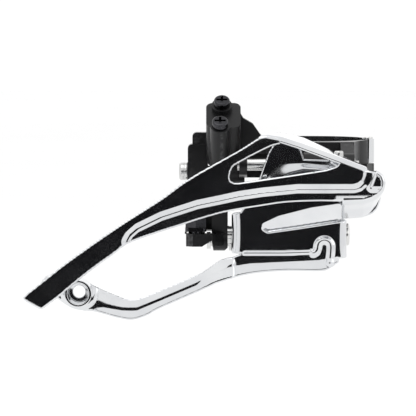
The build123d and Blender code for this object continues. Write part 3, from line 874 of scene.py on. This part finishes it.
class Palette:
    """The object's finishes, one for each material slot of the record."""

    def __init__(self) -> None:
        """Builds every finish."""
        effects = Effects()
        finishes = {
            Slot.CHROMED: MetalFinish(
                "chromed_plate_finish", (0.72, 0.73, 0.74), (0.64, 0.65, 0.67), 0.06, 0.12, 0.35, 0.002
            ),
            Slot.STEEL: MetalFinish(
                "bright_steel_finish", (0.66, 0.66, 0.65), (0.52, 0.52, 0.52), 0.14, 0.24, 0.4, 0.004
            ),
            Slot.SPRING: MetalFinish(
                "spring_steel_finish", (0.34, 0.34, 0.36), (0.2, 0.2, 0.22), 0.25, 0.38, 0.3, 0.006
            ),
            Slot.BRONZE: MetalFinish(
                "bronze_finish", (0.58, 0.42, 0.24), (0.42, 0.29, 0.16), 0.3, 0.45, 0.2, 0.01, 1400.0
            ),
            Slot.BLACK_STEEL: MetalFinish(
                "black_steel_finish", (0.055, 0.055, 0.06), (0.03, 0.03, 0.033), 0.2, 0.3, 0.3, 0.004
            ),
            Slot.BLACK: CoatFinish(
                "black_coat_finish", (0.006, 0.006, 0.0065), (0.12, 0.12, 0.125), 0.3, 0.004
            ),
        }
        self.materials = {slot: finish.build(effects) for slot, finish in finishes.items()}

    def dress(self, obj: bpy.types.Object, slot: Slot) -> None:
        """Puts one finish on every material slot of an object.

        Args:
            obj: the object to dress.
            slot: the finish's slot in the record.
        """
        material = self.materials[slot]
        if not obj.data.materials:
            obj.data.materials.append(material)
        for place in obj.material_slots:
            place.material = material


# ---------------------------------------------------------------- the cage


def with_y(points: list[tuple[float, float]], y: float) -> np.ndarray:
    """(X, Z) points as (X, Y, Z) rows at one Y."""
    p = np.asarray(points, float)
    return np.stack([p[:, 0], np.full(len(p), y), p[:, 1]], 1)


def with_free_edges(parts: list[tuple], edge: float) -> np.ndarray:
    """Joins runs of points into a closed outline whose free edges stand back.

    Args:
        parts: runs of (X, Z) points, each with 1 for a free edge or 0 for a bend.
        edge: distance that free edges stand back, in millimetres.

    Returns:
        Corners of the outline.
    """
    amount = np.concatenate([np.full(len(points), free * edge) for points, free in parts])
    return inset(np.vstack([points for points, _ in parts]), amount)


@dataclass
class OuterPlate:
    """Outer cage plate with its window, lower lip, top bridge and nose, in millimetres."""

    sheet: float = 1.2
    back_y: float = -47.4
    inner_y: float = -36.75
    lip: float = 0.65
    edge: float = 0.5
    nose_bend: tuple = (
        (8.6, -11.6), (15.0, -11.4), (17.6, -10.7), (19.3, -9.7), (20.5, -8.4), (21.0, -7.2),
        (21.1, -6.0), (20.6, -4.6), (19.2, -3.5),
    )
    top_bend: tuple = (
        (15.5, -2.9), (4.0, 1.4), (-6.0, 5.1), (-12.0, 7.0), (-16.4, 7.9), (-18.4, 7.4),
    )

    def outline(self) -> np.ndarray:
        """Edge of the flat plate, one rolled edge inside its free edges and on its bends.

        Returns:
            Corners of the closed edge.
        """
        top = smooth_line([(-42.6, -6.3), (-50.3, -11.9), (-63.1, -20.1), (-79.4, -31.5), (-92.8, -42.0)])
        tail = smooth_line([
            (-92.8, -42.0), (-93.9, -43.2), (-93.6, -44.2), (-88.6, -47.0), (-87.4, -46.9),
        ], 4)
        lower = smooth_line([
            (-87.4, -46.9), (-82.6, -43.3), (-75.6, -37.4), (-69.8, -32.9), (-65.0, -29.5), (-61.0, -26.4),
            (-56.0, -24.2), (-41.7, -19.5), (-34.0, -17.1), (-27.6, -15.5), (-18.0, -13.9), (-9.6, -12.7),
            (0.3, -12.3), (7.8, -12.4),
        ])
        front = [(-24.4, 4.2), (-37.2, -3.0)]
        parts = [
            (top, 1), (tail[1:], 1), (lower[1:], 1), (self.nose_bend, 0), (self.top_bend, 0), (front, 1),
        ]
        return with_free_edges(parts, self.edge)

    def window(self) -> np.ndarray:
        """Closed edge of the window.

        Returns:
            Corners of the edge.
        """
        left = smooth_line([
            (3.2, -2.2), (-8.4, -4.0), (-21.2, -5.9), (-25.6, -6.4), (-27.4, -5.6), (-27.6, -3.8),
            (-26.4, -1.2), (-22.1, 1.4), (-15.0, 5.0), (-11.2, 6.1),
        ], 7)
        right = smooth_line([
            (-11.2, 6.1), (-9.8, 5.9), (-6.2, 4.6), (-1.0, 2.9), (3.6, 1.1), (6.6, 0.6),
            (7.2, -0.1), (6.0, -1.2), (3.2, -2.2),
        ], 7)
        return np.vstack([left[:-1], right[:-1]])

    def features(self) -> list:
        """Raised lip along the lower edge, sunk pocket in the nose and tilted end of the lip.

        Returns:
            The features, each with a height method.
        """
        lip = Step(
            outline=(
                (-59.4, -25.4), (-58.6, -24.0), (-56.4, -22.1), (-49.0, -18.5), (-37.6, -14.8),
                (-30.8, -13.4), (-24.4, -12.0), (-17.0, -10.9), (-6.0, -9.8), (2.2, -9.8),
                (12.2, -9.8), (14.8, -9.0), (16.6, -7.2), (17.6, -4.8), (18.0, -1.0),
                (24.0, 2.0), (24.0, -16.0), (-10.0, -16.0), (-57.0, -28.0),
            ),
            depth=self.lip, slope=3.0,
        )
        pocket = Step(((18.0, -7.6), (24.0, -7.7), (24.0, -5.0), (20.6, -2.6), (19.4, -3.8)), -0.5, 2.4)
        tilt = Joggle(
            upper=((5.0, -10.0), (8.0, -10.0), (22.0, -9.6)),
            lower=((5.0, -12.4), (8.0, -12.4), (22.0, -12.2)),
            depth=-0.24,
        )
        return [lip, pocket, tilt]

    def build(self, palette: Palette) -> bpy.types.Object:
        """Makes the plate with both bridges and puts it in place of the plain one.

        Args:
            palette: the finishes.

        Returns:
            The plate's object.
        """
        middle = self.back_y - self.sheet / 2
        hole = inset(self.window(), -self.edge)
        mesh = PressedSheet(self.outline(), [hole], self.features(), middle).build()
        start = with_y(self.top_bend, middle)
        corner = with_y([
            (16.0, -2.0), (4.5, 2.3), (-5.6, 5.9), (-11.6, 7.9), (-16.0, 8.6), (-17.4, 8.4),
        ], middle)
        end = with_y([
            (14.6, -1.4), (3.6, 3.6), (-3.8, 7.0), (-8.6, 8.2), (-11.0, 8.6), (-12.4, 8.7),
        ], self.inner_y)
        mesh = Fold(start, corner, end, lead=0.18).attach(mesh)
        near = middle - self.lip
        start = with_y(self.nose_bend, near)
        corner = with_y([
            (8.6, -12.5), (15.2, -12.2), (18.1, -11.4), (20.0, -10.1), (21.2, -8.6), (21.6, -7.3),
            (21.7, -6.0), (21.0, -4.2), (19.6, -3.0),
        ], near)
        end = with_y([
            (8.8, -17.9), (15.2, -17.5), (17.6, -16.2), (19.2, -14.3), (20.3, -12.0), (20.7, -9.6),
            (20.5, -7.6), (19.5, -5.2), (17.9, -3.8),
        ], self.inner_y)
        mesh = Fold(start, corner, end, lead=0.14).attach(mesh)
        tab_edge = inset(np.array([
            (12.2, -6.8), (19.6, -6.6), (20.5, -9.6), (20.3, -12.0), (19.1, -14.3), (17.3, -16.2),
            (15.0, -17.4), (12.2, -17.6),
        ]), self.edge)
        rivet_hole = circle(RIVET_PLACE, RIVET_HOLE + self.edge)
        tab = PressedSheet(tab_edge, [rivet_hole], [], self.inner_y)
        mesh = mesh.joined(tab.build())
        obj = Shell(self.sheet, self.edge).build(mesh).to_object("cage_outer_sheet")
        palette.dress(obj, Slot.CHROMED)
        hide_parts("cage_outer_plate")
        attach(obj, Body.CAGE.value)
        return obj


@dataclass
class InnerPlate:
    """Inner cage plate with its ears, shift ramp, beads and arm, in millimetres."""

    sheet: float = 1.2
    back_y: float = -34.9
    left_ear: float = -26.3
    right_ear: float = 9.8
    tab_end_y: float = -43.2
    eyelet: tuple[float, float] = (-76.3, -42.2)
    eyelet_hole: float = 2.65
    edge: float = 0.5
    left_bend: tuple = ((-23.6, -17.0), (-23.6, -29.8))
    right_bend: tuple = ((7.6, -31.4), (7.6, -19.4))
    tab_bend: tuple = ((10.8, -1.4), (5.2, 1.0))

    def outline(self) -> np.ndarray:
        """Edge of the flat plate, one rolled edge inside its free edges and on its bends.

        Returns:
            Corners of the closed edge.
        """
        arm = smooth_line([
            (-23.6, -30.0), (-26.8, -31.2), (-30.7, -32.3), (-37.6, -36.7), (-50.2, -42.1), (-56.3, -44.5),
            (-60.5, -44.9), (-64.1, -43.7), (-70.7, -40.8), (-77.0, -37.2), (-83.0, -36.2), (-87.2, -37.4),
            (-88.6, -39.6), (-87.0, -42.2), (-83.2, -45.0), (-79.0, -47.6), (-75.3, -48.5), (-70.7, -49.0),
            (-64.5, -50.7), (-59.2, -51.5), (-54.2, -50.0), (-50.2, -47.8), (-36.0, -41.6), (-30.7, -39.3),
            (-21.1, -36.7), (-10.3, -35.7), (2.1, -35.7), (5.4, -34.5), (7.9, -32.8),
        ], 6)
        nose = smooth_line([
            (15.5, -18.3), (19.2, -16.7), (21.0, -13.5), (21.3, -10.5), (20.2, -5.4), (17.0, -2.8),
        ], 6)
        parts = [
            ([(-12.0, 7.8), (-15.2, 2.5), (-18.1, -5.9), (-22.6, -14.6), (-23.8, -16.2)], 1),
            (self.left_bend, 0), (arm[1:], 1), (self.right_bend, 0), ([(9.0, -18.8)], 1), (nose, 1),
            ([(13.0, -2.2)], 1), (self.tab_bend, 0),
            ([(4.2, 1.6), (4.0, 0.3), (-3.5, 0.6), (-5.4, 6.4)], 1),
        ]
        return with_free_edges(parts, self.edge)

    def features(self) -> list:
        """Shift ramp, arm crease, lower flare, hook-shaped rib, strip, window crescent and eyelet boss.

        Returns:
            The features, each with a height method.
        """
        ramp = Joggle(
            upper=((-17.4, -20.6), (-11.7, -17.8), (-1.1, -15.0), (8.1, -13.7), (10.5, -13.4)),
            lower=((-17.4, -21.8), (-15.2, -22.8), (-5.3, -21.4), (8.8, -19.2), (10.5, -19.0)),
            depth=-1.1, back=0.45, right_fade=3.5,
        )
        arm = Joggle(
            upper=(
                (-76.0, -37.8), (-70.7, -40.8), (-64.1, -43.7), (-60.5, -44.9), (-56.3, -44.5),
                (-50.2, -42.1), (-37.6, -36.7), (-30.7, -32.3), (-26.0, -31.0),
            ),
            lower=(
                (-76.0, -43.0), (-68.6, -46.7), (-62.5, -47.7), (-57.6, -47.7), (-50.2, -44.6),
                (-38.2, -39.5), (-33.0, -36.2), (-26.0, -33.0),
            ),
            depth=0.85,
        )
        flare = Joggle(
            upper=(
                (-72.0, -47.9), (-68.6, -47.5), (-62.5, -48.5), (-57.6, -48.5), (-50.2, -45.4),
                (-38.2, -40.3), (-34.0, -36.0), (-29.7, -34.3), (-21.0, -33.2), (-4.8, -32.4),
                (1.0, -32.1), (8.4, -30.8),
            ),
            lower=(
                (-72.0, -49.4), (-64.5, -51.0), (-59.2, -52.0), (-50.2, -48.2), (-36.0, -42.0),
                (-21.1, -37.0), (2.6, -36.0), (8.4, -34.4),
            ),
            depth=0.9,
        )
        ring = circle((3.1, -27.8), 2.15, 48)
        tip = [(-0.4, -30.0), (0.5, -29.4)]
        hook_line = np.vstack([tip, ring[np.arange(25, -1, -1)], [[5.2, -29.5], [4.8, -33.0]]])
        hook = Bead(tuple(map(tuple, hook_line)), 2.8, 0.8)
        strip = Bead(((-22.8, -29.9), (-10.0, -29.9), (-0.6, -29.6)), 1.3, 0.35)
        crescent = Joggle(
            upper=(
                (-16.4, -7.0), (-15.4, -4.9), (-13.9, -2.5), (-11.3, -0.8), (-3.8, -0.8),
                (4.9, -1.6), (9.0, -2.4),
            ),
            lower=(
                (-16.4, -9.5), (-13.5, -7.0), (-10.5, -5.2), (-8.0, -3.8), (-3.8, -2.6),
                (4.9, -2.9), (9.0, -3.6),
            ),
            depth=0.45, back=8.0,
        )
        boss = Pad(tuple(map(tuple, circle(self.eyelet, 5.7))), 0.8, 1.0)
        return [ramp, arm, flare, hook, strip, crescent, boss]

    def ear(self, bend: tuple, ear_x: float, far: tuple) -> Fold:
        """One ear: a bend of wide radius and a straight web with a rounded far end.

        Args:
            bend: (X, Z) ends of the line where the flat plate ends.
            ear_x: X of the ear's middle plane.
            far: (Y, Z) outline of the ear's far end, in the same direction as the bend.

        Returns:
            The ear, ready to be attached to the plate.
        """
        middle = self.back_y - self.sheet / 2
        tip = smooth_line(list(far), 8)
        share = np.linspace(0, 1, len(tip))
        heights = bend[0][1] + share * (bend[1][1] - bend[0][1])
        start = np.stack([np.full(len(tip), bend[0][0]), np.full(len(tip), middle), heights], 1)
        corner = np.stack([np.full(len(tip), ear_x), np.full(len(tip), middle), heights], 1)
        end = np.stack([np.full(len(tip), ear_x), tip[:, 0], tip[:, 1]], 1)
        return Fold(start, corner, end, lead=0.22)

    def build(self, palette: Palette) -> bpy.types.Object:
        """Makes the plate with both ears and puts it in place of the plain one.

        Args:
            palette: the finishes.

        Returns:
            The plate's object.
        """
        middle = self.back_y - self.sheet / 2
        eyelet_hole = circle(self.eyelet, self.eyelet_hole + self.edge)
        holes = [eyelet_hole, circle(RIVET_PLACE, RIVET_HOLE + self.edge)]
        mesh = PressedSheet(self.outline(), holes, self.features(), middle).build()
        left = (
            (-22.0, -20.4), (-17.4, -22.2), (-14.8, -24.6), (-14.4, -27.0), (-15.7, -29.6),
            (-19.0, -30.8), (-24.0, -30.8),
        )
        right = (
            (-31.0, -30.6), (-26.9, -28.4), (-24.3, -25.6), (-24.2, -23.6), (-25.6, -21.5),
            (-28.2, -20.5),
        )
        mesh = self.ear(self.left_bend, self.left_ear, left).attach(mesh)
        mesh = self.ear(self.right_bend, self.right_ear, right).attach(mesh)
        tab = with_y(self.tab_bend, middle)
        tab_corner = with_y([(11.1, -0.6), (5.5, 1.9)], middle)
        tab_end = with_y([(10.6, -2.2), (5.2, 0.0)], self.tab_end_y)
        mesh = Fold(tab, tab_corner, tab_end).attach(mesh)
        obj = Shell(self.sheet, self.edge).build(mesh).to_object("cage_inner_sheet")
        palette.dress(obj, Slot.CHROMED)
        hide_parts("cage_inner_plate")
        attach(obj, Body.CAGE.value)
        return obj


# ---------------------------------------------------------------- carried-over nodes


@dataclass(frozen=True)
class EdgeRounding:
    """Rounded edges laid over a CAD node by modifiers, in millimetres."""

    SAME_PLACE = 0.002
    SHARP = math.radians(38)

    radius: float
    segments: int = 3

    def apply(self, obj: bpy.types.Object) -> None:
        """Joins the node's split corners and rounds its sharp edges.

        Args:
            obj: the node's object.
        """
        weld = obj.modifiers.new("weld", "WELD")
        weld.merge_threshold = self.SAME_PLACE * MM
        rim = obj.modifiers.new("edge", "BEVEL")
        rim.width = self.radius * MM
        rim.segments = self.segments
        rim.limit_method = "ANGLE"
        rim.angle_limit = self.SHARP
        rim.use_clamp_overlap = True
        smooth = obj.modifiers.new("normals", "WEIGHTED_NORMAL")
        smooth.keep_sharp = False


class Hardware:
    """Nodes whose shape is kept from the frame and only finished."""

    ROUNDED = {
        "bracket_body": 0.7,
        "inner_link": 0.6,
        "clamp_band": 0.6,
        "outer_link": 0.25,
        "cable_anchor_washer": 0.2,
        "clamp_bolt": 0.2,
        "clamp_washer": 0.15,
        "rear_axle_washer": 0.15,
        "rear_moving_washer": 0.15,
        "front_moving_axle": 0.12,
        "rear_moving_axle": 0.3,
        "front_fixed_axle": 0.25,
        "bridge_rivet_front": 0.3,
        "tail_spacer": 0.2,
    }

    def __init__(self, frame: dict) -> None:
        """Keeps the frame's nodes and the slot of each."""
        self.nodes = frame["nodes"]
        self.slots = {s["node"]: s["material_slot"] for s in frame["record"]["subparts"]}

    def dress(self, palette: Palette) -> None:
        """Gives every node its finish and its rounded edges.

        Args:
            palette: the finishes.
        """
        for name, obj in self.nodes.items():
            palette.dress(obj, Slot(self.slots[name]))
            if name in self.ROUNDED:
                EdgeRounding(self.ROUNDED[name]).apply(obj)


# ---------------------------------------------------------------- the studio


@dataclass
class Studio:
    """Pale floor, soft lights, a dark card behind the camera and the camera, in metres."""

    aim: tuple[float, float, float] = (-0.0346, -0.048, -0.0145)
    distance: float = 1.0
    elevation: float = 3.6
    view_width: float = 0.13312
    floor_z: float = -0.13

    def build(self) -> None:
        """Makes the whole setting."""
        self._world()
        self._floor()
        self._card()
        self._lights()
        self._camera()

    def _world(self) -> None:
        """Even pale surroundings."""
        world = bpy.data.worlds.new("studio")
        bpy.context.scene.world = world
        world.use_nodes = True
        backdrop = world.node_tree.nodes["Background"]
        backdrop.inputs["Color"].default_value = (1.0, 1.0, 1.0, 1.0)
        backdrop.inputs["Strength"].default_value = 1.1

    def _floor(self) -> None:
        """Large pale floor well below the object."""
        size = 6.0
        corners = [(-size, -size, self.floor_z), (size, -size, self.floor_z), (size, size, self.floor_z),
                   (-size, size, self.floor_z)]
        mesh = bpy.data.meshes.new("floor")
        mesh.from_pydata(corners, [], [(0, 1, 2, 3)])
        floor = bpy.data.objects.new("floor", mesh)
        bpy.context.scene.collection.objects.link(floor)
        material, n, shader = new_material("floor_finish")
        place = n.add("ShaderNodeTexCoord").outputs["Object"]
        cloud = n.add("ShaderNodeTexNoise", Vector=place, Scale=3.0, Detail=3.0)
        tone = n.mix(cloud.outputs["Fac"], (0.89, 0.89, 0.89, 1.0), (0.92, 0.92, 0.92, 1.0))
        n.feed(shader.inputs["Base Color"], tone)
        shader.inputs["Roughness"].default_value = 0.9
        mesh.materials.append(material)

    def _card(self) -> None:
        """Dark card round the camera's line of sight, seen in reflections only."""
        mesh = bpy.data.meshes.new("dark_card")
        y, foot, x0, x1, z0, z1 = -0.75, -0.5, -0.28, 0.24, -0.128, 0.12
        corners = [(x0, y, z0), (x1, y, z0), (x1, y, z1), (x0, y, z1), (x0, foot, z0), (x1, foot, z0)]
        mesh.from_pydata(corners, [], [(0, 1, 2, 3), (4, 5, 1, 0)])
        card = bpy.data.objects.new("dark_card", mesh)
        bpy.context.scene.collection.objects.link(card)
        material, _, shader = new_material("dark_card_finish")
        shader.inputs["Base Color"].default_value = (0.01, 0.01, 0.011, 1.0)
        shader.inputs["Roughness"].default_value = 1.0
        shader.inputs["Specular IOR Level"].default_value = 0.0
        mesh.materials.append(material)
        card.visible_camera = False
        card.visible_diffuse = False
        card.visible_shadow = False

    def _lights(self) -> None:
        """Soft overhead light and a fill from each side."""
        for name, place, size, power in (
            ("key", (-0.2, -0.35, 0.75), 0.6, 1.2),
            ("fill", (0.7, -0.3, 0.3), 0.5, 0.5),
            ("back", (-0.1, 0.8, 0.5), 0.7, 0.6),
        ):
            light = bpy.data.lights.new(name, "AREA")
            light.shape = "SQUARE"
            light.size = size
            light.energy = power
            lamp = bpy.data.objects.new(name, light)
            lamp.location = place
            lamp.rotation_euler = (Vector(self.aim) - Vector(place)).to_track_quat("-Z", "Y").to_euler()
            bpy.context.scene.collection.objects.link(lamp)

    def _camera(self) -> None:
        """Long lens on the chain side, a little above the object."""
        tilt = math.radians(self.elevation)
        data = bpy.data.cameras.new("camera")
        data.sensor_width = 36.0
        data.lens = data.sensor_width * self.distance / self.view_width
        data.clip_start = 0.05
        data.clip_end = 50.0
        camera = bpy.data.objects.new("camera", data)
        camera.location = Vector(self.aim) + Vector(
            (0.0, -self.distance * math.cos(tilt), self.distance * math.sin(tilt))
        )
        camera.rotation_euler = (math.pi / 2 - tilt, 0.0, 0.0)
        bpy.context.scene.collection.objects.link(camera)
        bpy.context.scene.camera = camera


def main() -> None:
    """Builds the finished object over the frame."""
    logging.basicConfig(level=logging.INFO)
    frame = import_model()
    Studio().build()
    palette = Palette()
    Hardware(frame).dress(palette)
    for plate in (OuterPlate(), InnerPlate()):
        piece = plate.build(palette)
        LOG.info("%s: %d faces", piece.name, len(piece.data.polygons))
    bpy.context.scene.view_settings.view_transform = "Standard"


if __name__ == "__main__":
    main()
